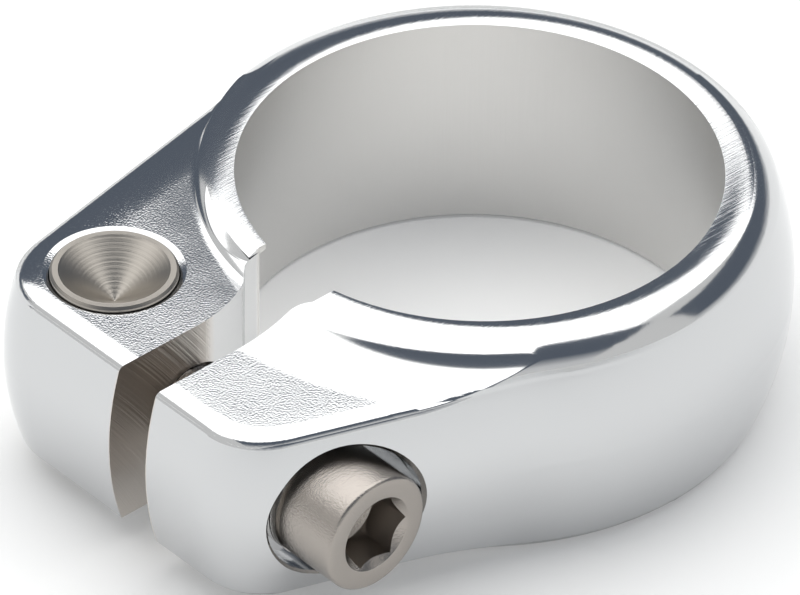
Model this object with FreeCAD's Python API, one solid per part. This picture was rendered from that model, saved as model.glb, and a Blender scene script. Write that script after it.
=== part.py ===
import FreeCAD, Part
import math
import os

V = FreeCAD.Vector

# Frame: origin on the bore axis at the level of the screw, which is mid
# height. Z up along the bore, ears towards -Y, screw head towards +X.
# All sizes in millimetres and degrees.

# Ring
TUBE_R = 15.0            # bore closed on a 30.0 mm frame tube
HEIGHT = 15.0            # underside to rim
WALL = 3.85              # ring wall at mid height
BULGE_R = 18.0           # every outer side face bulges by this radius
BORE_EDGE = 0.25         # chamfer at the lower end of the bore
LIP_W = 0.5              # lip that stops on the end of the frame tube
LIP_T = 0.38             # lip thickness at its inner edge
LIP_SLOPE = 0.12         # extra thickness where the lip meets the bore
TOP_ROLL_R = 2.0         # rounding from the rim to the side
LOW_ROLL_R = 1.3         # rounding from the underside to the side

# Ears
LAND_DROP = 1.9          # ear faces lie this far inside rim and underside
LAND_EDGE = 0.45         # rounding round the ear faces
LEFT_TAPER = 11.0        # left side line, tangent to the ring
RIGHT_TAPER = 20.3       # right side line, a little inside the ring
RIGHT_INSET = 0.35
WAIST_R = 14.0           # hollow between the ring and the right ear
LEFT_CORNER_R = 5.9
RIGHT_CORNER_R = 5.0
FRONT_WALL = 2.57        # metal in front of the nut hole at mid height

# Scooped steps from the rim down to the ear faces
LEFT_RIM = 1.87          # rim left between bore and step at its widest
LEFT_SHIFT = 1.9         # left step is centred this far behind the bore axis
LEFT_CONVEX_R = 1.5
LEFT_CONCAVE_R = 0.5
RIGHT_RIM = 1.4
RIGHT_CONVEX_R = 1.5
RIGHT_CONCAVE_R = 4.5
STEP_BITE = 0.012        # the steps break the rim at a slight angle

# Slot
SLOT_W = 3.2
FLARE_R = 9.4            # slot walls curve apart towards the bore
FLARE_L = 4.88
MOUTH_L = 0.85           # straight end of the flare, outside the bore

# Barrel nut, upright in the left ear
NUT_R = 3.8
NUT_PLAY = 0.08          # radial, in its hole
NUT_WEB = 3.1            # metal between the slot and the nut hole
NUT_PROUD = 0.3          # both ends stand out of the ear faces
NUT_EDGE = 0.15
NUT_RIM = 0.5            # flat ring round the turned cone
CONE_ANGLE = 108.0
NUT_HOLE_EDGE = 0.35     # mean width of the broken edge of the nut hole
NUT_HOLE_SLOPE = 20.0    # how steeply that edge falls
NUT_HOLE_SHIFT = 0.25    # it is wider on one side by this much
NUT_HOLE_SIDE = 137.0    # direction of that side from +X

# Screw M5, along X through both ears
SCREW_Y = -21.05
THREAD_R = 2.48
THREAD_PLAY = 0.04       # radial, in the nut
SCREW_PLAY = 0.27        # radial, in the ears
SCREW_L = 20.0           # under the head
SCREW_TIP = 0.7          # chamfer at the tip
HEAD_R = 3.7
HEAD_L = 4.55
HEAD_EDGE = 0.25         # broken front edge
HEAD_BACK_EDGE = 0.3     # chamfered rear edge
HEX_AF = 4.0
HEX_DEPTH = 2.6
HEX_MOUTH = 0.1          # countersink beyond the corners of the hexagon
HEX_POINT_ANGLE = 120.0  # drill point below the hexagon

# Washer and the pocket that takes it with the head
EAR_WALL = 7.76          # slot to pocket floor
SEAT_PLAY = 0.05         # washer to floor, lets nut and screw align
WASHER_T = 0.45
WASHER_PLAY = 0.12       # radial, on the thread
WASHER_BRIM = 0.05       # washer beyond the head
POCKET_PLAY = 0.7        # radial, round the head
POCKET_EDGE = 0.2        # broken rim of the pocket

# Places that follow from the sizes
TOP = HEIGHT / 2
LAND = TOP - LAND_DROP
SIDE_R = TUBE_R + WALL
NUT_HOLE_R = NUT_R + NUT_PLAY
NUT_X = -(SLOT_W / 2 + NUT_WEB + NUT_HOLE_R)
FRONT_Y = SCREW_Y - NUT_HOLE_R - FRONT_WALL
FLOOR_X = SLOT_W / 2 + EAR_WALL
WASHER_X = FLOOR_X + SEAT_PLAY
HEAD_X = WASHER_X + WASHER_T
FACE_X = HEAD_X + HEAD_L
POCKET_R = HEAD_R + POCKET_PLAY


def sin(degrees):
    return math.sin(math.radians(degrees))


def cos(degrees):
    return math.cos(math.radians(degrees))


def polar(centre, radius, degrees):
    return (centre[0] + radius * cos(degrees), centre[1] + radius * sin(degrees))


def arc(a, b, c):
    return Part.Arc(V(*a), V(*b), V(*c)).toShape()


def profile(points):
    """Closed face in the XZ plane from (r, z) corners and (mid, end) arcs."""
    edges = []
    last = points[0]
    for p in points[1:] + [points[0]]:
        if p[0] == "arc":
            mid, end = p[1], p[2]
            edges.append(arc((last[0], 0, last[1]), (mid[0], 0, mid[1]),
                             (end[0], 0, end[1])))
            last = end
        else:
            edges.append(Part.makeLine(V(last[0], 0, last[1]), V(p[0], 0, p[1])))
            last = p
    return Part.Face(Part.Wire(edges))


def turned(points):
    return profile(points).revolve(V(0, 0, 0), V(0, 0, 1), 360)


def cylinder_x(radius, x1, x2):
    return Part.makeCylinder(radius, x2 - x1, V(x1, SCREW_Y, 0), V(1, 0, 0))


def upside_down(shape):
    return shape.mirror(V(0, 0, 0), V(0, 0, 1))


def corner_centre(n1, d1, n2, d2, r):
    """Centre of an arc of radius r inside two lines n.p = d."""
    det = n1[0] * n2[1] - n1[1] * n2[0]
    e1, e2 = d1 - r, d2 - r
    return ((e1 * n2[1] - e2 * n1[1]) / det, (n1[0] * e2 - n2[0] * e1) / det)


def outline():
    """Ring and ears at mid height, anticlockwise from above.

    Each entry is a start point, an end point and, for an arc, its centre
    and the angle turned about it.
    """
    left = (-cos(LEFT_TAPER), -sin(LEFT_TAPER))
    right = (cos(RIGHT_TAPER), -sin(RIGHT_TAPER))
    front = (0.0, -1.0)
    right_reach = SIDE_R - RIGHT_INSET
    lc = corner_centre(left, SIDE_R, front, -FRONT_Y, LEFT_CORNER_R)
    rc = corner_centre(right, right_reach, front, -FRONT_Y, RIGHT_CORNER_R)
    # Hollow that touches the right side line and the ring from outside
    out = right_reach + WAIST_R
    back = math.sqrt((SIDE_R + WAIST_R) ** 2 - out ** 2)
    wc = (out * right[0] - back * sin(RIGHT_TAPER),
          out * right[1] - back * cos(RIGHT_TAPER))
    bearing = math.degrees(math.atan2(wc[1], wc[0]))
    share = SIDE_R / (SIDE_R + WAIST_R)

    def off(centre, n, r):
        return (centre[0] + r * n[0], centre[1] + r * n[1])

    ring_end = off((0.0, 0.0), left, SIDE_R)
    waist_end = (wc[0] * share, wc[1] * share)
    waist_start = off(wc, right, -WAIST_R)
    return [
        (ring_end, off(lc, left, LEFT_CORNER_R), None, 0),
        (off(lc, left, LEFT_CORNER_R), (lc[0], FRONT_Y), lc, 90 - LEFT_TAPER),
        ((lc[0], FRONT_Y), (rc[0], FRONT_Y), None, 0),
        ((rc[0], FRONT_Y), off(rc, right, RIGHT_CORNER_R), rc, 90 - RIGHT_TAPER),
        (off(rc, right, RIGHT_CORNER_R), waist_start, None, 0),
        (waist_start, waist_end, wc, RIGHT_TAPER + bearing),
        (waist_end, ring_end, (0.0, 0.0), 180 + LEFT_TAPER - bearing),
    ]


def roll_centre(roll):
    """Centre of a rounding that touches the bulged side and the rim plane,
    as distance beyond the side's mid height outline, and height."""
    reach = BULGE_R - roll
    rise = TOP - roll
    return (math.sqrt(reach ** 2 - rise ** 2) - BULGE_R, rise)


def side_profile():
    """Arcs of the side from the underside to the rim: rolled edge, bulge up to
    the parting line of the forging, bulge above it, rolled edge. Each is
    three points of (distance beyond outline, height)."""
    low, top = roll_centre(LOW_ROLL_R), roll_centre(TOP_ROLL_R)
    low = (low[0], -low[1])
    low_lean = math.degrees(math.asin(low[1] / (BULGE_R - LOW_ROLL_R)))
    top_lean = math.degrees(math.asin(top[1] / (BULGE_R - TOP_ROLL_R)))
    low_end = polar(low, LOW_ROLL_R, low_lean)
    top_end = polar(top, TOP_ROLL_R, top_lean)
    bulge, widest = (-BULGE_R, 0.0), (0.0, 0.0)
    return [
        (polar(low, LOW_ROLL_R, -90), polar(low, LOW_ROLL_R, (low_lean - 90) / 2), low_end),
        (low_end, polar(bulge, BULGE_R, low_lean / 2), widest),
        (widest, polar(bulge, BULGE_R, top_lean / 2), top_end),
        (top_end, polar(top, TOP_ROLL_R, (top_lean + 90) / 2), polar(top, TOP_ROLL_R, 90)),
    ]


def body():
    """Ring and ears at full height, with bulging sides and rolled edges."""
    side = side_profile()
    faces, low, high = [], [], []
    for start, end, centre, turn in outline():
        if centre is None:
            dx, dy = end[0] - start[0], end[1] - start[1]
            size = math.hypot(dx, dy)
            n = (dy / size, -dx / size)
            run = V(end[0] - start[0], end[1] - start[1], 0)
        else:
            dx, dy = start[0] - centre[0], start[1] - centre[1]
            size = math.hypot(dx, dy) * (1 if turn > 0 else -1)
            n = (dx / size, dy / size)
            pivot = V(centre[0], centre[1], 0)

        def sweep(shape):
            if centre is None:
                return shape.extrude(run)
            return shape.revolve(pivot, V(0, 0, 1), turn)

        def place(p):
            return (start[0] + p[0] * n[0], start[1] + p[0] * n[1], p[1])

        for piece in side:
            faces.append(sweep(arc(*[place(p) for p in piece])))
        low.append(sweep(Part.Vertex(V(*place(side[0][0])))))
        high.append(sweep(Part.Vertex(V(*place(side[-1][2])))))
    faces.append(Part.Face(Part.Wire(Part.__sortEdges__(low))))
    faces.append(Part.Face(Part.Wire(Part.__sortEdges__(high))))
    shell = Part.makeShell(faces)
    shell.sewShape()
    solid = Part.makeSolid(shell)
    if solid.Volume < 0:
        solid.reverse()
    return solid


def step(y, rim, convex, concave, side):
    """Metal above one ear and the radius of the foot of its scooped step."""
    swing = math.degrees(math.acos(1 - (LAND_DROP + STEP_BITE) / (convex + concave)))
    lean = math.degrees(math.acos(1 - STEP_BITE / convex))
    centre = rim - convex * sin(lean)
    foot = centre + (convex + concave) * sin(swing)
    a, b = (centre, TOP + STEP_BITE - convex), (foot, LAND + concave)
    far, above = foot + 25, TOP + 3
    tool = turned([
        (rim, above), (rim, TOP),
        ("arc", polar(a, convex, 90 - (lean + swing) / 2), polar(a, convex, 90 - swing)),
        ("arc", polar(b, concave, 270 - swing / 2), (foot, LAND)),
        (far, LAND), (far, above)])
    tool.translate(V(0, y, 0))
    half = Part.makeBox(60, 60, 60, V(0 if side > 0 else -60, -60, -20))
    return tool.common(half), (y, foot)


def ear_face_edges(shape, feet):
    """Outer edges of the ear faces, without the feet of the steps and the
    middle line, where the slot takes the metal away."""
    edges = []
    for e in shape.Edges:
        a, b = e.ParameterRange
        pts = [e.valueAt(a + k * (b - a)) for k in (0.25, 0.5, 0.75)]
        if any(abs(abs(p.z) - LAND) > 1e-4 or abs(p.x) < 1e-4 for p in pts):
            continue
        if any(all(abs(math.hypot(p.x, p.y - y) - r) < 1e-3 for p in pts)
               for y, r in feet):
            continue
        edges.append(e)
    return edges


def slot():
    """Slot whose walls curve apart into a wider mouth at the bore."""
    w = SLOT_W / 2
    mouth = -(TUBE_R + MOUTH_L)
    start = mouth - FLARE_L

    def wall(y):
        return w + FLARE_R - math.sqrt(FLARE_R ** 2 - (y - start) ** 2)

    m, mid = wall(mouth), (start + mouth) / 2
    front, inside = FRONT_Y - 5, -TUBE_R / 2
    edges = [arc((-w, start, 0), (-wall(mid), mid, 0), (-m, mouth, 0)),
             arc((w, start, 0), (wall(mid), mid, 0), (m, mouth, 0))]
    path = [(-w, start), (-w, front), (w, front), (w, start)]
    back = [(-m, mouth), (-m, inside), (m, inside), (m, mouth)]
    for corners in (path, back):
        for a, b in zip(corners, corners[1:]):
            edges.append(Part.makeLine(V(a[0], a[1], 0), V(b[0], b[1], 0)))
    face = Part.Face(Part.Wire(Part.__sortEdges__(edges)))
    return face.extrude(V(0, 0, HEIGHT + 4)).translated(V(0, 0, -TOP - 2))


def bore():
    """Opening of the ring, narrower at the top where the lip stands."""
    lip = TOP - LIP_T
    lip_r = TUBE_R - LIP_W
    return turned([
        (0, -TOP - 1), (TUBE_R + BORE_EDGE + 1, -TOP - 1), (TUBE_R + BORE_EDGE, -TOP),
        (TUBE_R, -TOP + BORE_EDGE), (TUBE_R, lip - LIP_SLOPE), (lip_r, lip),
        (lip_r, TOP + 3), (0, TOP + 3)])


def nut_hole():
    """Upright hole through the left ear with its shallow broken edges."""
    hole = Part.makeCylinder(NUT_HOLE_R, HEIGHT + 4, V(0, 0, -TOP - 2))
    reach = NUT_HOLE_R + NUT_HOLE_EDGE
    depth = reach * math.tan(math.radians(NUT_HOLE_SLOPE))
    middle = polar((0.0, 0.0), NUT_HOLE_SHIFT, NUT_HOLE_SIDE)
    edge = Part.makeCone(0, 2 * reach, 2 * depth, V(middle[0], middle[1], LAND - depth))
    hole = hole.fuse([edge, upside_down(edge)])
    hole.translate(V(NUT_X, SCREW_Y, 0))
    return hole


def pocket_rim(shape):
    """Edges where the head's pocket breaks through the side of the ear."""
    rim = []
    for e in shape.Edges:
        a, b = e.ParameterRange
        pts = [e.valueAt(a + k * (b - a)) for k in (0.25, 0.5, 0.75)]
        if all(abs(math.hypot(p.y - SCREW_Y, p.z) - POCKET_R) < 1e-3
               and p.x > FLOOR_X + 0.1 for p in pts):
            rim.append(e)
    return rim


def collar():
    c = body()
    left, left_foot = step(LEFT_SHIFT, TUBE_R + LEFT_RIM, LEFT_CONVEX_R,
                           LEFT_CONCAVE_R, -1)
    right, right_foot = step(0.0, TUBE_R + RIGHT_RIM, RIGHT_CONVEX_R,
                             RIGHT_CONCAVE_R, 1)
    for tool in (left, right):
        c = c.cut(tool)
        c = c.cut(upside_down(tool))
    c = c.removeSplitter()
    c = c.makeFillet(LAND_EDGE, ear_face_edges(c, (left_foot, right_foot)))
    c = c.cut(bore())
    c = c.cut(slot())
    c = c.cut(nut_hole())
    # Screw hole from the nut outwards, then the pocket
    c = c.cut(cylinder_x(THREAD_R + SCREW_PLAY, NUT_X, FACE_X + 5))
    c = c.cut(cylinder_x(POCKET_R, FLOOR_X, FACE_X + 5))
    return c.makeChamfer(POCKET_EDGE, pocket_rim(c))


def barrel_nut():
    end = LAND + NUT_PROUD
    cone_r = NUT_R - NUT_RIM
    nut = turned([
        (0, -end), (NUT_R - NUT_EDGE, -end), (NUT_R, -end + NUT_EDGE),
        (NUT_R, end - NUT_EDGE), (NUT_R - NUT_EDGE, end), (cone_r, end),
        (0, end - cone_r / math.tan(math.radians(CONE_ANGLE / 2)))])
    nut.translate(V(NUT_X, SCREW_Y, 0))
    return nut.cut(cylinder_x(THREAD_R + THREAD_PLAY, NUT_X - 2 * NUT_R,
                              NUT_X + 2 * NUT_R))


def clamp_bolt():
    tip = HEAD_X - SCREW_L
    # Profile as radius and distance along the screw
    screw = turned([
        (0, tip), (THREAD_R - SCREW_TIP, tip), (THREAD_R, tip + SCREW_TIP),
        (THREAD_R, HEAD_X), (HEAD_R - HEAD_BACK_EDGE, HEAD_X),
        (HEAD_R, HEAD_X + HEAD_BACK_EDGE), (HEAD_R, FACE_X - HEAD_EDGE),
        (HEAD_R - HEAD_EDGE, FACE_X), (0, FACE_X)])
    screw.rotate(V(0, 0, 0), V(0, 1, 0), 90)
    screw.translate(V(0, SCREW_Y, 0))
    flat, corner = HEX_AF / 2, HEX_AF / math.sqrt(3)
    bottom = V(FACE_X - HEX_DEPTH, SCREW_Y, 0)
    corners = [bottom + V(0, corner * cos(60 * k), corner * sin(60 * k)) for k in range(7)]
    hexagon = Part.Face(Part.makePolygon(corners)).extrude(V(HEX_DEPTH + 1, 0, 0))
    point = Part.makeCone(flat, 0, flat / math.tan(math.radians(HEX_POINT_ANGLE / 2)),
                          bottom, V(-1, 0, 0))
    mouth = Part.makeCone(corner + HEX_MOUTH, 0, corner + HEX_MOUTH,
                          V(FACE_X, SCREW_Y, 0), V(-1, 0, 0))
    return screw.cut(hexagon).cut(point).cut(mouth)


def washer():
    ring = cylinder_x(HEAD_R + WASHER_BRIM, WASHER_X, HEAD_X)
    return ring.cut(cylinder_x(THREAD_R + WASHER_PLAY, WASHER_X - 1, HEAD_X + 1))


os.makedirs("parts", exist_ok=True)
for name, make in (("collar", collar), ("barrel_nut", barrel_nut),
                   ("clamp_bolt", clamp_bolt), ("washer", washer)):
    shape = make()
    if shape.ShapeType == "Compound" and len(shape.Solids) == 1:
        shape = shape.Solids[0]
    shape.exportStep("parts/" + name + ".step")
    print(name, shape.ShapeType, len(shape.Solids), shape.isValid(), round(shape.Volume, 1))
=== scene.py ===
"""Polished seatpost clamp on a pale studio table."""
import bmesh
import bpy
import math
from mathutils import Matrix, Vector
from mathutils.bvhtree import BVHTree
from mathutils.interpolate import poly_3d_calc


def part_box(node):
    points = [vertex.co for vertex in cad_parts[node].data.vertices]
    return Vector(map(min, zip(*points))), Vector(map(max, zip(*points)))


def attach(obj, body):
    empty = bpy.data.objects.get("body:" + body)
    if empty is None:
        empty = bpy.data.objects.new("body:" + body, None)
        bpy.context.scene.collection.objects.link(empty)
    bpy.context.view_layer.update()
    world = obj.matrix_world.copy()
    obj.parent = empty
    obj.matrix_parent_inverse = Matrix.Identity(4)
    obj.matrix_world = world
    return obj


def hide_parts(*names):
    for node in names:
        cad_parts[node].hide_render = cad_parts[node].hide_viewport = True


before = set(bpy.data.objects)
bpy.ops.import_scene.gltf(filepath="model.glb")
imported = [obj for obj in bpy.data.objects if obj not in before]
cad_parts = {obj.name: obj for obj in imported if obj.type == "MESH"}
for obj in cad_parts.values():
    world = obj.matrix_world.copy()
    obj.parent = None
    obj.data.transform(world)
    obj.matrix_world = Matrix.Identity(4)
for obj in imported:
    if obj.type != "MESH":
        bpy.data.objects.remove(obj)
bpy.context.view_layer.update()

# Everything below is in millimetres until a mesh, a lamp or the camera is made
MM = 0.001


def extent(node):
    """Lowest and highest corner of a solid in millimetres."""
    return tuple(Vector(corner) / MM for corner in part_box(node))


collar_low, collar_high = extent("collar")
nut_low, nut_high = extent("barrel_nut")
bolt_low, bolt_high = extent("clamp_bolt")
washer_high = extent("washer")[1]

# Places read from the solids
TOP = collar_high.z
SCREW_Y = (bolt_low.y + bolt_high.y) / 2
NUT_X = (nut_low.x + nut_high.x) / 2
NUT_R = (nut_high.x - nut_low.x) / 2
NUT_END = nut_high.z
HEAD_R = (bolt_high.y - bolt_low.y) / 2
HEAD_BACK = washer_high.x
HEAD_FACE = bolt_high.x
SCREW_TIP = bolt_low.x

# Sizes of the collar that its finish needs
BORE_R = 15.0
LAND = 5.6               # height of the ear faces
SLOT_HALF = 1.6
EAR_START = -13.0        # the ears lie in front of this
FRONT_Y = -26.61         # front of the ear faces
LEFT_N = (-0.98163, -0.19081)     # directions that the ears' side lines face
RIGHT_N = (0.93789, -0.34694)
LEFT_REACH = 17.96       # from the bore axis to those lines at the ear faces
RIGHT_REACH = 17.61
LEFT_CORNER = 4.6        # how far the ears' corners round their edges off
RIGHT_CORNER = 4.0
LEFT_OFFSET = 1.2        # the left edge counts from this far outside

# Scooped steps from the rim to the ear faces. Each has its side, the shift of its
# centre, the radius and the rounding where it leaves the rim, the same where it meets
# the ear face, and how far and how late polishing lets it lean.
LEFT_STEP = (-1, 1.9, 16.68, 1.5, 18.68, 0.5, 0.6, 2.0)
RIGHT_STEP = (1, 0.0, 16.21, 1.5, 20.60, 4.5, 0.85, 1.0)
STEP_BITE = 0.012        # the steps break the rim at a slight angle
ON_STEP = (0.09, 0.05)   # a surface this close to a step's profile belongs to it

# The polished rim is crowned: highest at one radius round a point, lower by CROWN_IN
# and CROWN_OUT after these widths towards the bore and towards the side
RIM_CREST = 15.2
CREST_MID = (0.3, 0.5)
CROWN_IN, CROWN_IN_W = 0.16, 1.4
CROWN_OUT, CROWN_OUT_W = 0.26, 2.0

# Polishing wore the ear faces down along their edges, over a width and to a depth,
# and left them leaning a little
FALL_W, FALL_DEPTH = 1.5, 0.4
LEFT_FALL_W, LEFT_FALL_DEPTH = 3.2, 0.4
EAR_TILT = (-0.7362, 0.6768)
LEFT_SLOPE, RIGHT_SLOPE = 0.026, 0.014

# Marks in the metal
BUFF_PITCH, BUFF_LENGTH = 0.12, 5.0      # buffing lines on the rim
PEBBLE = 0.13            # left by the tumbling stones on the ear faces
SAW_PITCH = 0.25
BLADE_AXLE = (0, -56.3, -20.6)           # of the saw that cut the slot
HONE_PITCH, HONE_LENGTH = 0.3125, 25 / 3    # upright lines in the bore
FORGE_WAVE, FORGE_WAVE_DEPTH = 5.0, 0.02
LATHE_RING = 0.07
SPECK = 0.14
STRIP_GRAIN = 0.2

# Screw, M5 with a low head and a 4 mm hexagon
CREST_R = 2.48
PITCH = 0.8
THREAD_DEPTH = 0.49      # 0.613 of the pitch
THREAD_FADE = 1.2        # run-out under the head
ROOT_FLAT, FLANKS = 0.125, 0.7    # shares of the pitch
THREAD_STEPS = 14        # rings of the mesh to a pitch
TIP_CHAMFER = 0.7
HEX_AF = 4.0
HEX_DEPTH = 2.6
HEX_MOUTH = 0.1
HEX_POINT = 60.0         # half angle of the drill point
HEAD_EDGE = 0.25
HEAD_BACK_EDGE = 0.3
FACE_EDGE = 0.05         # tumbled softness of the other edges

# Barrel nut
NUT_EDGE = 0.15
NUT_RIM = 0.5
CONE_HALF_ANGLE = 54.0
GROOVE_PITCH = 0.235     # feed of the turning tool in the cone
GROOVE_DEPTH = 0.005
NUT_BORE_R = 2.52

# Meshes
JOIN = 0.0005            # points closer than this are one
ON_FACE = 0.002          # a point this close to the solid's face lies on it
SHARP = 28               # edges sharper than this many degrees stay sharp

# Studio, in metres; the picture's depth and width as directions in the part's frame
AWAY = (-0.736, 0.677)
RIGHT = (0.677, 0.736)
CURTAIN_R = 1.1
CURTAIN_TOP = 0.8
CURTAIN_LEFT_TOP = 0.45
CURTAIN_LEFT_END = -30   # degrees from straight ahead
TABLE_HALF = 2.0
TABLE_GAP = 0.00002      # table below the collar
TABLE_GLOW = 0.14        # brings the table to white in the picture and the polish


def linear(code):
    """Linear RGBA from an sRGB hex colour."""
    channels = [int(code[i:i + 2], 16) / 255 for i in (1, 3, 5)]
    return [c / 12.92 if c <= 0.04045 else ((c + 0.055) / 1.055) ** 2.4
            for c in channels] + [1.0]


def put(tree, kind, inputs=None, **settings):
    """Adds one node; inputs are links or values by socket name or number."""
    made = tree.nodes.new("ShaderNode" + kind)
    for name, value in settings.items():
        setattr(made, name, value)
    for name, value in (inputs or {}).items():
        if isinstance(value, bpy.types.NodeSocket):
            tree.links.new(value, made.inputs[name])
        else:
            made.inputs[name].default_value = value
    return made


def bare_material(name):
    """New material with an empty tree."""
    material = bpy.data.materials.new(name)
    material.use_nodes = True
    material.node_tree.nodes.clear()
    return material, material.node_tree


def metal(name, base, roughness, **sockets):
    """Metal with its plain values on the shader; returns material, tree, shader."""
    material, tree = bare_material(name)
    shader = put(tree, "BsdfPrincipled", {"Base Color": linear(base), "Metallic": 1.0,
                                          "Roughness": roughness, **sockets})
    put(tree, "OutputMaterial", {"Surface": shader.outputs[0]})
    return material, tree, shader


def spot_on(tree):
    """Position on the piece in millimetres."""
    here = put(tree, "TexCoord").outputs["Object"]
    return put(tree, "VectorMath", {0: here, 3: 1 / MM}, operation="SCALE").outputs[0]


# Collar finish


def step_normal(tree, step, at, height, plan, normal):
    """The normal, turned to a step's own where the surface belongs to that step: the
    solid's facets would show in the polish."""
    hand, shift, crown_r, roll, foot_r, scoop, share, delay = step
    arm = put(tree, "VectorMath", {0: plan, 1: (0, shift, 0)},
              operation="SUBTRACT").outputs[0]
    far = put(tree, "VectorMath", {0: arm}, operation="LENGTH").outputs["Value"]
    aside = put(tree, "VectorMath", {0: arm}, operation="NORMALIZE").outputs[0]
    leaving = put(tree, "MapRange", {0: far, 1: crown_r, 2: crown_r + roll}).outputs[0]
    landing = put(tree, "MapRange", {0: far, 1: foot_r, 2: foot_r - scoop}).outputs[0]
    lean = put(tree, "Math", {0: leaving, 1: landing}, operation="MINIMUM").outputs[0]
    level = put(tree, "Math", {0: lean}, operation="ARCSINE").outputs[0]
    level = put(tree, "Math", {0: level}, operation="COSINE").outputs[0]

    # Height of the step here; the surface is the step where it reaches that height
    fallen = put(tree, "Math", {0: level, 1: roll, 2: TOP - roll},
                 operation="MULTIPLY_ADD").outputs[0]
    hollow = put(tree, "Math", {0: level, 1: -scoop, 2: LAND + scoop},
                 operation="MULTIPLY_ADD").outputs[0]
    low_part = put(tree, "Math", {0: leaving, 1: landing},
                   operation="GREATER_THAN").outputs[0]
    profile = put(tree, "Mix", {0: low_part, 2: fallen, 3: hollow}).outputs[0]
    gap = put(tree, "Math", {0: profile, 1: height}, operation="SUBTRACT").outputs[0]
    gap = put(tree, "Math", {0: gap, 1: level}, operation="MULTIPLY").outputs[0]
    here = put(tree, "MapRange", {0: gap, 1: ON_STEP[0], 2: ON_STEP[1]}).outputs[0]
    sided = put(tree, "Math", {0: at[0], 1: hand}, operation="MULTIPLY").outputs[0]
    for measure, least in ((sided, SLOT_HALF + 0.01), (lean, 0.001)):
        test = put(tree, "Math", {0: measure, 1: least},
                   operation="GREATER_THAN").outputs[0]
        here = put(tree, "Math", {0: here, 1: test}, operation="MULTIPLY").outputs[0]

    # Polishing has softened its lean
    lean = put(tree, "Math", {0: lean, 1: delay}, operation="POWER").outputs[0]
    lean = put(tree, "Math", {0: lean, 1: share}, operation="MULTIPLY").outputs[0]
    level = put(tree, "Math", {0: lean}, operation="ARCSINE").outputs[0]
    level = put(tree, "Math", {0: level}, operation="COSINE").outputs[0]
    above = put(tree, "Math", {0: at[2]}, operation="SIGN").outputs[0]
    level = put(tree, "Math", {0: level, 1: above}, operation="MULTIPLY").outputs[0]
    across = put(tree, "VectorMath", {0: aside, 3: lean}, operation="SCALE").outputs[0]
    upwards = put(tree, "CombineXYZ", {2: level}).outputs[0]
    true = put(tree, "VectorMath", {0: across, 1: upwards}, operation="ADD").outputs[0]
    return put(tree, "Mix", {0: here, 4: normal, 5: true}, data_type="VECTOR").outputs[1]


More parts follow.
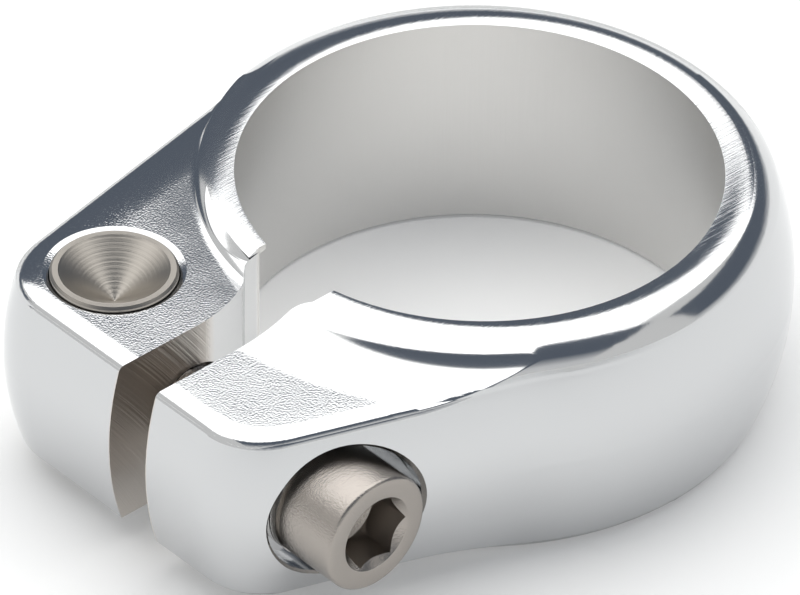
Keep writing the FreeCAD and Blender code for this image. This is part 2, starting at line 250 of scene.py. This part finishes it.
def polished_aluminium():
    """Forged aluminium, tumbled and then polished bright: near mirror sides, a crowned
    rim with buffing lines, pebbled ear faces that fall away to their edges, saw marks
    in the slot and a satin bore."""
    polish, satin, sawn = "#CBCCCD", "#DCDBD9", "#D0CAC4"
    mirror = 0.1
    material, tree, shader = metal("polished_aluminium", polish, mirror)
    spot = spot_on(tree)
    at = put(tree, "SeparateXYZ", {0: spot}).outputs
    solid = put(tree, "NewGeometry").outputs
    facing = put(tree, "SeparateXYZ", {0: solid["Normal"]}).outputs
    height = put(tree, "Math", {0: at[2]}, operation="ABSOLUTE").outputs[0]
    up = put(tree, "Math", {0: facing[2]}, operation="ABSOLUTE").outputs[0]
    side = put(tree, "Math", {0: at[0]}, operation="ABSOLUTE").outputs[0]
    plan = put(tree, "VectorMath", {0: spot, 1: (1, 1, 0)},
               operation="MULTIPLY").outputs[0]
    radius = put(tree, "VectorMath", {0: plan}, operation="LENGTH").outputs["Value"]
    crest = put(tree, "VectorMath", {0: plan, 1: (*CREST_MID, 0)},
                operation="SUBTRACT").outputs[0]
    crest = put(tree, "VectorMath", {0: crest}, operation="LENGTH").outputs["Value"]

    # Distances in from the three straight edges of the ear faces; their smooth least
    # follows the rounded corners
    to_front = put(tree, "Math", {0: at[1], 1: FRONT_Y}, operation="SUBTRACT").outputs[0]
    to_side = []
    for line, reach in ((LEFT_N, LEFT_REACH), (RIGHT_N, RIGHT_REACH)):
        out = put(tree, "VectorMath", {0: spot, 1: (*line, 0)}, operation="DOT_PRODUCT")
        to_side.append(put(tree, "Math", {0: reach, 1: out.outputs["Value"]},
                           operation="SUBTRACT").outputs[0])
    to_left, to_right = to_side
    clear_left = put(tree, "Math", {0: to_left, 1: LEFT_OFFSET},
                     operation="ADD").outputs[0]
    inset = put(tree, "Math", {0: clear_left, 1: to_front, 2: LEFT_CORNER},
                operation="SMOOTH_MIN").outputs[0]
    inset = put(tree, "Math", {0: inset, 1: to_right, 2: RIGHT_CORNER},
                operation="SMOOTH_MIN").outputs[0]

    # What each zone is told by, where it starts and where it is full
    above = put(tree, "Math", {0: at[2], 1: 0.0}, operation="GREATER_THAN").outputs[0]
    zone = {"above": above}
    for name, measure, start, full in (
            ("rim", height, TOP - 0.9, TOP - 0.2),
            ("low", height, LAND + 0.3, LAND + 0.05),
            ("ears", at[1], EAR_START, EAR_START - 4),
            ("upright", up, 0.6, 0.3),
            ("level", up, 0.2, 0.6),
            ("close", radius, BORE_R + 0.3, BORE_R + 0.05),
            ("front", radius, 17.5, 21.5),
            ("between", side, SLOT_HALF + 0.12, SLOT_HALF + 0.02),
            ("inner", crest, RIM_CREST + 1.2, RIM_CREST + 0.2),
            ("middle", inset, 0.9, 2.2),
            ("edge", inset, FALL_W, 0.0),
            ("left edge", to_left, LEFT_FALL_W, 0.0)):
        zone[name] = put(tree, "MapRange", {0: measure, 1: start, 2: full}).outputs[0]
    # Some finishes lie only where several zones meet
    for name, parts in (("bore", ("close", "upright")),
                        ("slot", ("between", "ears", "upright")),
                        ("crest", ("inner", "rim")),
                        ("land", ("level", "low", "above")),
                        ("patch", ("middle", "front"))):
        met = zone[parts[0]]
        for part in parts[1:]:
            met = put(tree, "Math", {0: met, 1: zone[part]},
                      operation="MULTIPLY").outputs[0]
        zone[name] = met
    # Pebbles fade towards the worn front edges and the steps
    patch = put(tree, "MapRange", {0: zone["patch"], 3: 0.3, 4: 1.0}).outputs[0]
    patch = put(tree, "Math", {0: patch, 1: zone["land"]},
                operation="MULTIPLY").outputs[0]
    off_wall = put(tree, "Math", {0: 1.0, 1: zone["upright"]},
                   operation="SUBTRACT").outputs[0]

    # The crowned rim falls inwards to the bore and outwards into its rolled edge
    inwards = put(tree, "MapRange", {0: crest, 1: RIM_CREST, 2: RIM_CREST - CROWN_IN_W,
                                     4: -CROWN_IN},
                  interpolation_type="SMOOTHSTEP").outputs[0]
    outwards = put(tree, "MapRange", {0: crest, 1: RIM_CREST, 2: RIM_CREST + CROWN_OUT_W,
                                      4: -CROWN_OUT},
                   interpolation_type="SMOOTHSTEP").outputs[0]
    crown = put(tree, "Math", {0: inwards, 1: outwards}, operation="ADD").outputs[0]
    # The ear faces are worn down towards their edges
    worn = put(tree, "Math", {0: zone["edge"], 1: 2.0}, operation="POWER").outputs[0]
    worn = put(tree, "Math", {0: worn, 1: zone["front"]}, operation="MULTIPLY").outputs[0]
    worn_left = put(tree, "Math", {0: zone["left edge"], 1: 2.0},
                    operation="POWER").outputs[0]

    # Flats take their own face's normal, and the steps the normal they were cut to
    steep = put(tree, "SeparateXYZ", {0: solid["True Normal"]}).outputs[2]
    steep = put(tree, "Math", {0: steep}, operation="ABSOLUTE").outputs[0]
    plain = put(tree, "Math", {0: steep, 1: 0.99999}, operation="GREATER_THAN").outputs[0]
    normal = put(tree, "Mix", {0: plain, 4: solid["Normal"], 5: solid["True Normal"]},
                 data_type="VECTOR").outputs[1]
    for step in (LEFT_STEP, RIGHT_STEP):
        normal = step_normal(tree, step, at, height, plan, normal)
    # The ear faces were polished a little out of level, the left one more
    tilt = put(tree, "Math", {0: at[0], 1: 0.0}, operation="LESS_THAN").outputs[0]
    tilt = put(tree, "MapRange", {0: tilt, 3: RIGHT_SLOPE, 4: LEFT_SLOPE}).outputs[0]
    tilt = put(tree, "Math", {0: tilt, 1: zone["land"]}, operation="MULTIPLY").outputs[0]
    tilt = put(tree, "VectorMath", {0: (*EAR_TILT, 0), 3: tilt},
               operation="SCALE").outputs[0]
    normal = put(tree, "VectorMath", {0: normal, 1: tilt}, operation="ADD").outputs[0]
    normal = put(tree, "VectorMath", {0: normal}, operation="NORMALIZE").outputs[0]

    # Buffing lines run front to back over the rim
    lines = put(tree, "Mapping", {0: spot, "Scale": (1 / BUFF_PITCH, 1 / BUFF_LENGTH,
                                                     1.0)}).outputs[0]
    buffing = put(tree, "TexNoise", {"Vector": lines, "Scale": 1.0, "Detail": 3.0,
                                     "Roughness": 0.6, "Distortion": 0.15}).outputs[0]
    pebbles = put(tree, "TexNoise", {"Vector": spot, "Scale": 1 / PEBBLE, "Detail": 1.0,
                                     "Roughness": 0.5}).outputs[0]
    # Saw marks in the slot are arcs of a blade that came from the front
    blade = put(tree, "VectorMath", {0: spot, 1: BLADE_AXLE},
                operation="SUBTRACT").outputs[0]
    blade = put(tree, "VectorMath", {0: blade, 1: (0, 1, 1)},
                operation="MULTIPLY").outputs[0]
    reach = put(tree, "VectorMath", {0: blade}, operation="LENGTH").outputs["Value"]
    marks = put(tree, "TexNoise", {"W": reach, "Scale": 1 / SAW_PITCH, "Detail": 3.0,
                                   "Roughness": 0.7}, noise_dimensions="1D").outputs[0]
    # The bore keeps faint upright lines of the honing
    honed = put(tree, "Mapping", {0: spot, "Scale": (1 / HONE_PITCH, 1 / HONE_PITCH,
                                                     1 / HONE_LENGTH)}).outputs[0]
    honing = put(tree, "TexNoise", {"Vector": honed, "Scale": 1.0, "Detail": 3.0,
                                    "Roughness": 0.6}).outputs[0]
    # Slow waves of the forging lie under the polish
    waves = put(tree, "TexNoise", {"Vector": spot, "Scale": 1 / FORGE_WAVE,
                                   "Detail": 1.0}).outputs[0]
    raised = put(tree, "Math", {0: waves, 1: FORGE_WAVE_DEPTH},
                 operation="MULTIPLY").outputs[0]

    # Each finish over the plain polish: where it lies, its form, that form's height in
    # millimetres, and its roughness
    rough = mirror
    for place, form, depth, finish in (
            (off_wall, crown, 1.0, mirror),
            (zone["crest"], buffing, 0.011, 0.16),
            (zone["rim"], pebbles, 0.003, 0.12),
            (patch, pebbles, 0.014, 0.16),
            (zone["bore"], honing, 0.008, 0.33),
            (zone["slot"], marks, 0.035, 0.3),
            (zone["land"], worn, -FALL_DEPTH, 0.12),
            (zone["land"], worn_left, -LEFT_FALL_DEPTH, 0.12)):
        rough = put(tree, "Mix", {0: place, 2: rough, 3: finish}).outputs[0]
        lift = put(tree, "Math", {0: form, 1: depth}, operation="MULTIPLY").outputs[0]
        raised = put(tree, "Math", {0: lift, 1: place, 2: raised},
                     operation="MULTIPLY_ADD").outputs[0]
    # The sawn slot stayed dull and dark, the honed bore is pale
    colour = linear(polish)
    for place, shade in ((zone["slot"], sawn), (zone["bore"], satin)):
        colour = put(tree, "Mix", {0: place, 6: colour, 7: linear(shade)},
                     data_type="RGBA").outputs[2]
    bump = put(tree, "Bump", {"Height": raised, "Strength": 1.0, "Distance": MM,
                              "Normal": normal})
    tree.links.new(colour, shader.inputs["Base Color"])
    tree.links.new(rough, shader.inputs["Roughness"])
    tree.links.new(bump.outputs[0], shader.inputs["Normal"])
    return material


def turned_stainless():
    """Stainless bar turned on a lathe: warm grey, the light smeared across the
    fine grooves of the end cone."""
    material, tree, shader = metal("turned_stainless", "#9F9A93", 0.34, Anisotropic=0.5)
    axis = put(tree, "VectorMath", {0: spot_on(tree), 1: (NUT_X, SCREW_Y, 0)},
               operation="SUBTRACT").outputs[0]
    flat = put(tree, "VectorMath", {0: axis, 1: (1, 1, 0)},
               operation="MULTIPLY").outputs[0]
    radius = put(tree, "VectorMath", {0: flat}, operation="LENGTH").outputs["Value"]
    rings = put(tree, "TexNoise", {"W": radius, "Scale": 1 / LATHE_RING, "Detail": 2.0},
                noise_dimensions="1D").outputs[0]
    bump = put(tree, "Bump", {"Height": rings, "Strength": 1.0, "Distance": 0.004 * MM})
    tree.links.new(bump.outputs[0], shader.inputs["Normal"])
    tangent = put(tree, "Tangent", direction_type="RADIAL", axis="Z")
    tree.links.new(tangent.outputs[0], shader.inputs["Tangent"])
    return material


def tumbled_stainless():
    """Cold-headed stainless screw, tumbled: fine bright and dark specks on warm grey."""
    material, tree, shader = metal("tumbled_stainless", "#A39D97", 0.24)
    specks = put(tree, "TexNoise", {"Vector": spot_on(tree), "Scale": 1 / SPECK,
                                    "Detail": 3.0, "Roughness": 0.65}).outputs[0]
    bump = put(tree, "Bump", {"Height": specks, "Strength": 1.0, "Distance": 0.03 * MM})
    tree.links.new(bump.outputs[0], shader.inputs["Normal"])
    return material


def washer_stainless():
    """Rolled stainless strip, punched: brighter and plainer than the screw."""
    material, tree, shader = metal("washer_stainless", "#D6D4D1", 0.2)
    grain = put(tree, "TexNoise", {"Vector": spot_on(tree), "Scale": 1 / STRIP_GRAIN,
                                   "Detail": 2.0}).outputs[0]
    bump = put(tree, "Bump", {"Height": grain, "Strength": 1.0, "Distance": 0.006 * MM})
    tree.links.new(bump.outputs[0], shader.inputs["Normal"])
    return material


# Meshes


def placed(name, data):
    """New object in the scene for a mesh, a lamp or a camera."""
    made = bpy.data.objects.new(name, data)
    bpy.context.scene.collection.objects.link(made)
    return made


def clean(mesh):
    """Joins points that coincide, drops faces without area and turns faces outwards."""
    work = bmesh.new()
    work.from_mesh(mesh)
    bmesh.ops.remove_doubles(work, verts=work.verts, dist=JOIN * MM)
    bmesh.ops.dissolve_degenerate(work, dist=JOIN * MM, edges=work.edges)
    bmesh.ops.recalc_face_normals(work, faces=work.faces)
    work.to_mesh(mesh)
    work.free()


def ringed(name, rings, place):
    """Mesh skinned over rings of points in millimetres; place turns a ring's point
    into the part's frame. A ring of one point closes an end."""
    count = max(len(ring) for ring in rings)
    points, starts = [], []
    for ring in rings:
        starts.append(len(points))
        points += [[c * MM for c in place(*p)] for p in ring]
    faces = []
    for i in range(len(rings) - 1):
        a, b = starts[i], starts[i + 1]
        for k in range(count):
            n = (k + 1) % count
            if len(rings[i]) == 1:
                faces.append((a, b + n, b + k))
            elif len(rings[i + 1]) == 1:
                faces.append((a + k, a + n, b))
            else:
                faces.append((a + k, a + n, b + n, b + k))
    mesh = bpy.data.meshes.new(name)
    mesh.from_pydata(points, [], faces)
    mesh.validate()
    clean(mesh)
    mesh.shade_smooth()
    mesh.set_sharp_from_angle(angle=math.radians(SHARP))
    return placed(name, mesh)


def cut_away(piece, cutter):
    """Takes the cutter's form out of the piece, and the cutter out of the scene."""
    cut = piece.modifiers.new("cut", "BOOLEAN")
    cut.object = cutter
    cut.solver = "EXACT"
    bpy.context.view_layer.update()
    shown = piece.evaluated_get(bpy.context.evaluated_depsgraph_get())
    mesh = bpy.data.meshes.new_from_object(shown)
    piece.modifiers.clear()
    piece.data = mesh
    bpy.data.objects.remove(cutter)


def ring_of(radii, along):
    """Ring of points at these distances from the axis."""
    count = len(radii)
    return [(along[k], radii[k] * math.cos(2 * math.pi * k / count),
             radii[k] * math.sin(2 * math.pi * k / count)) for k in range(count)]


def circle(along, radius, count):
    """Round ring of points, this far along the axis."""
    return ring_of([radius] * count, [along] * count)


def screw_mesh():
    """Screw from the bottom of its socket, round the head and along the thread to the
    tip."""
    count = 96
    # Distance from the axis to the hexagon's flanks
    hexagon = [HEX_AF / 2 / math.cos(math.radians((360 * k / count) % 60 - 30))
               for k in range(count)]
    bottom = HEAD_FACE - HEX_DEPTH
    mouth = HEX_AF / math.sqrt(3) + HEX_MOUTH
    sunk = [HEAD_FACE - (mouth - r) for r in hexagon]
    rings = [[(bottom - HEX_AF / 2 / math.tan(math.radians(HEX_POINT)), 0, 0)],
             circle(bottom, HEX_AF / 2, count),
             ring_of(hexagon, [bottom] * count),
             ring_of(hexagon, [along - FACE_EDGE for along in sunk]),
             ring_of(hexagon, sunk)]
    for turn in (0, 45, 90):
        lean = math.radians(turn)
        rings.append(circle(HEAD_FACE - FACE_EDGE * (1 - math.sin(lean)) * 0.5,
                            mouth + FACE_EDGE * (1 - math.cos(lean)), count))
    for turn in range(0, 91, 15):
        lean = math.radians(turn)
        rings.append(circle(HEAD_FACE - HEAD_EDGE * (1 - math.cos(lean)),
                            HEAD_R - HEAD_EDGE * (1 - math.sin(lean)), count))
    rings.append(circle(HEAD_BACK + HEAD_BACK_EDGE, HEAD_R, count))
    rings.append(circle(HEAD_BACK, HEAD_R - HEAD_BACK_EDGE, count))
    rings.append(circle(HEAD_BACK, CREST_R, count))

    def thread_radius(along, turn):
        phase = (along / PITCH + turn) % 1.0
        crest = min(1.0, max(0.0, (abs(phase - 0.5) * 2 - ROOT_FLAT) / FLANKS))
        fade = min(1.0, (HEAD_BACK - along) / THREAD_FADE)
        radius = CREST_R - THREAD_DEPTH * (1 - crest) * fade
        return min(radius, CREST_R - TIP_CHAMFER + (along - SCREW_TIP))

    steps = int((HEAD_BACK - SCREW_TIP) / (PITCH / THREAD_STEPS))
    for i in range(1, steps + 1):
        along = HEAD_BACK + (SCREW_TIP - HEAD_BACK) * i / steps
        rings.append(ring_of([thread_radius(along, k / count) for k in range(count)],
                          [along] * count))
    rings.append([(SCREW_TIP, 0, 0)])
    return ringed("clamp_bolt_threaded", rings, lambda a, b, c: (a, SCREW_Y + b, c))


def nut_mesh():
    """Barrel nut with the lathe's grooves in its upper cone and its cross hole."""
    count = 144
    cone_r = NUT_R - NUT_RIM
    slope = 1 / math.tan(math.radians(CONE_HALF_ANGLE))
    rings = [[(-NUT_END, 0, 0)]]
    for along, radius in ((-NUT_END, NUT_R - NUT_EDGE), (-NUT_END + NUT_EDGE, NUT_R),
                          (NUT_END - NUT_EDGE, NUT_R), (NUT_END, NUT_R - NUT_EDGE),
                          (NUT_END, cone_r)):
        rings.append(circle(along, radius, count))
    grooves = round(cone_r / GROOVE_PITCH)
    for i in range(1, grooves * 4):
        radius = cone_r * (1 - i / (grooves * 4))
        dip = GROOVE_DEPTH * (1 - math.cos(math.pi * i / 2)) / 2
        rings.append(circle(NUT_END - (cone_r - radius) * slope - dip, radius, count))
    rings.append([(NUT_END - cone_r * slope, 0, 0)])
    nut = ringed("barrel_nut_turned", rings, lambda a, b, c: (NUT_X + b, SCREW_Y + c, a))
    reach = 2 * NUT_R
    drill = ringed("cross_drill", [[(-reach, 0, 0)], circle(-reach, NUT_BORE_R, 64),
                                   circle(reach, NUT_BORE_R, 64), [(reach, 0, 0)]],
                   lambda a, b, c: (NUT_X + a, SCREW_Y + b, c))
    cut_away(nut, drill)
    return nut


def step_cutter():
    """Metal outside the step below the left ear: the step above it, upside down."""
    shift, crown_r, roll, foot_r, scoop = LEFT_STEP[1:6]
    steepest = math.acos(1 - (TOP - LAND + STEP_BITE) / (roll + scoop))
    start = math.acos(1 - STEP_BITE / roll)
    profile = []
    for i in range(17):
        lean = start + (steepest - start) * i / 16
        profile.append((crown_r + roll * math.sin(lean),
                        TOP + STEP_BITE - roll * (1 - math.cos(lean))))
    for i in range(1, 9):
        lean = steepest * (1 - i / 8)
        profile.append((foot_r - scoop * math.sin(lean),
                        LAND + scoop * (1 - math.cos(lean))))
    clear_r, clear_z = foot_r + 25, TOP + 3
    profile += [(clear_r, LAND), (clear_r, clear_z), (profile[0][0], clear_z)]
    middle = (foot_r + 12, TOP)
    rings = [[(radius, height, turn) for radius, height in profile]
             for turn in range(90, 271, 2)]
    rings = [[(*middle, 90)], *rings, [(*middle, 270)]]

    def place(radius, height, turn):
        lean = math.radians(turn)
        return radius * math.cos(lean), shift + radius * math.sin(lean), -height

    return ringed("step_cutter", rings, place)


def collar_mesh():
    """The collar with the step below its left ear, which the solid lacks. Every
    other face keeps the solid's own smooth normals."""
    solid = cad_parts["collar"]
    old = solid.data
    mesh = old.copy()
    clean(mesh)
    piece = placed("collar_stepped", mesh)
    piece.matrix_world = solid.matrix_world.copy()
    cut_away(piece, step_cutter())
    stepped = piece.data
    clean(stepped)

    corners = [v.co.copy() for v in old.vertices]
    tree = BVHTree.FromPolygons(corners, [list(p.vertices) for p in old.polygons])
    smooth = [n.vector.copy() for n in old.corner_normals]
    stepped.shade_smooth()
    normals = [None] * len(stepped.loops)
    for face in stepped.polygons:
        for index in face.loop_indices:
            spot = stepped.vertices[stepped.loops[index].vertex_index].co
            # A little inside the face, so that it finds that face and no neighbour
            inside = spot.lerp(face.center, 0.002)
            place, facing, number, distance = tree.find_nearest(inside)
            normals[index] = face.normal.copy()
            if distance < ON_FACE * MM and facing.dot(face.normal) > 0.99:
                source = old.polygons[number]
                shares = poly_3d_calc([corners[v] for v in source.vertices], place)
                blend = Vector((0, 0, 0))
                for share, loop in zip(shares, source.loop_indices):
                    blend += share * smooth[loop]
                normals[index] = blend.normalized()
    stepped.normals_split_custom_set(normals)
    return piece


def dress(piece, material):
    """Gives a piece its one material."""
    piece.data.materials.clear()
    piece.data.materials.append(material)
    return piece


# Pieces and their materials
dress(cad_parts["washer"], washer_stainless())

collar = dress(collar_mesh(), polished_aluminium())
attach(collar, "collar")
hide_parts("collar")

screw = dress(screw_mesh(), tumbled_stainless())
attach(screw, "clamp_bolt")
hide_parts("clamp_bolt")

nut = dress(nut_mesh(), turned_stainless())
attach(nut, "barrel_nut")
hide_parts("barrel_nut")


# Table, lamp, cards, room and camera


def studio(away, right, up):
    """Point of the studio in metres, away from the camera, to its right and up."""
    return Vector((AWAY[0] * away + RIGHT[0] * right,
                   AWAY[1] * away + RIGHT[1] * right, up))


def table():
    """White matt table top that runs past every view."""
    half = TABLE_HALF
    z = collar_low.z * MM - TABLE_GAP
    mesh = bpy.data.meshes.new("table")
    mesh.from_pydata([(-half, -half, z), (half, -half, z), (half, half, z),
                      (-half, half, z)], [], [(0, 1, 2, 3)])
    top = placed("table", mesh)
    material, tree = bare_material("white_table")
    paint = put(tree, "BsdfDiffuse", {"Color": linear("#F1F1F0")})
    rays = put(tree, "LightPath").outputs
    seen = rays["Is Camera Ray"]
    for ray in ("Is Glossy Ray", "Is Transmission Ray"):
        seen = put(tree, "Math", {0: seen, 1: rays[ray]}, operation="MAXIMUM").outputs[0]
    strength = put(tree, "Math", {0: seen, 1: TABLE_GLOW},
                   operation="MULTIPLY").outputs[0]
    glow = put(tree, "Emission", {"Color": linear("#FFFFFF"), "Strength": strength})
    both = put(tree, "AddShader", {0: paint.outputs[0], 1: glow.outputs[0]})
    put(tree, "OutputMaterial", {"Surface": both.outputs[0]})
    mesh.materials.append(material)


def softbox(name, place, size, radiance):
    """Oblong soft lamp that hangs level; radiance is its brightness."""
    lamp = bpy.data.lights.new(name, "AREA")
    lamp.shape = "RECTANGLE"
    lamp.size, lamp.size_y = size
    lamp.energy = radiance * math.pi * size[0] * size[1]
    turn = Matrix((studio(0, 1, 0), studio(1, 0, 0), (0, 0, 1))).transposed().to_4x4()
    placed(name, lamp).matrix_world = Matrix.Translation(place) @ turn


def card(name, corners, pale_at, slate_at):
    """Slate grey card, paler below, that the camera doesn't see and the polish shows."""
    mesh = bpy.data.meshes.new(name)
    mesh.from_pydata([studio(*c) for c in corners], [],
                     [(k, k + 1, k + 3, k + 2) for k in range(0, len(corners) - 2, 2)])
    piece = placed(name, mesh)
    material, tree = bare_material(name)
    here = put(tree, "TexCoord").outputs["Object"]
    rise = put(tree, "SeparateXYZ", {0: here}).outputs[2]
    rise = put(tree, "MapRange", {0: rise, 1: pale_at, 2: slate_at}).outputs[0]
    shade = put(tree, "Mix", {0: rise, 6: linear("#E4E5E6"), 7: linear("#656D79")},
                data_type="RGBA")
    glow = put(tree, "Emission", {"Color": shade.outputs[2], "Strength": 1.0})
    put(tree, "OutputMaterial", {"Surface": glow.outputs[0]})
    mesh.materials.append(material)
    piece.visible_camera = False


def cards():
    """A curtain behind and to the right, and a card over the camera."""
    curtain = []
    for turn in range(-84, 101, 8):
        lean = math.radians(turn)
        for rise in (0.0, CURTAIN_TOP if turn > CURTAIN_LEFT_END else CURTAIN_LEFT_TOP):
            curtain.append((CURTAIN_R * math.cos(lean), CURTAIN_R * math.sin(lean), rise))
    card("back_curtain", curtain, 0.0, 0.16)
    over = [(away, right, up) for away, up in ((-0.16, 0.6), (-0.5, 0.45), (-0.75, 0.15))
            for right in (-0.35, 0.6)]
    card("camera_card", over, 0.2, 0.45)


def room():
    """Pale walls all round."""
    world = bpy.data.worlds.new("room")
    world.use_nodes = True
    tree = world.node_tree
    tree.nodes.clear()
    back = put(tree, "Background", {"Color": linear("#EBEBEA"), "Strength": 1.0})
    put(tree, "OutputWorld", {"Surface": back.outputs[0]})
    bpy.context.scene.world = world


def camera():
    """Long lens looking down over the head side, as in the photograph."""
    lens = bpy.data.cameras.new("camera")
    lens.sensor_fit = "HORIZONTAL"
    lens.sensor_width = 36.0
    lens.lens = 384.3
    lens.clip_start, lens.clip_end = 0.01, 20.0
    right = Vector((0.6708032, 0.7415613, 0.0104821))
    down = Vector((0.4614291, -0.4062522, -0.7886966))
    forward = Vector((-0.5806086, 0.5338969, -0.6146932))
    turn = Matrix((right, -down, -forward)).transposed().to_4x4()
    holder = placed("camera", lens)
    holder.matrix_world = Matrix.Translation((0.2928970, -0.2755807, 0.3112444)) @ turn
    bpy.context.scene.camera = holder


table()
softbox("overhead", studio(0.315, -0.12, 0.6), (1.24, 0.93), 1.4)
cards()
room()
camera()
bpy.context.scene.view_settings.view_transform = "Standard"
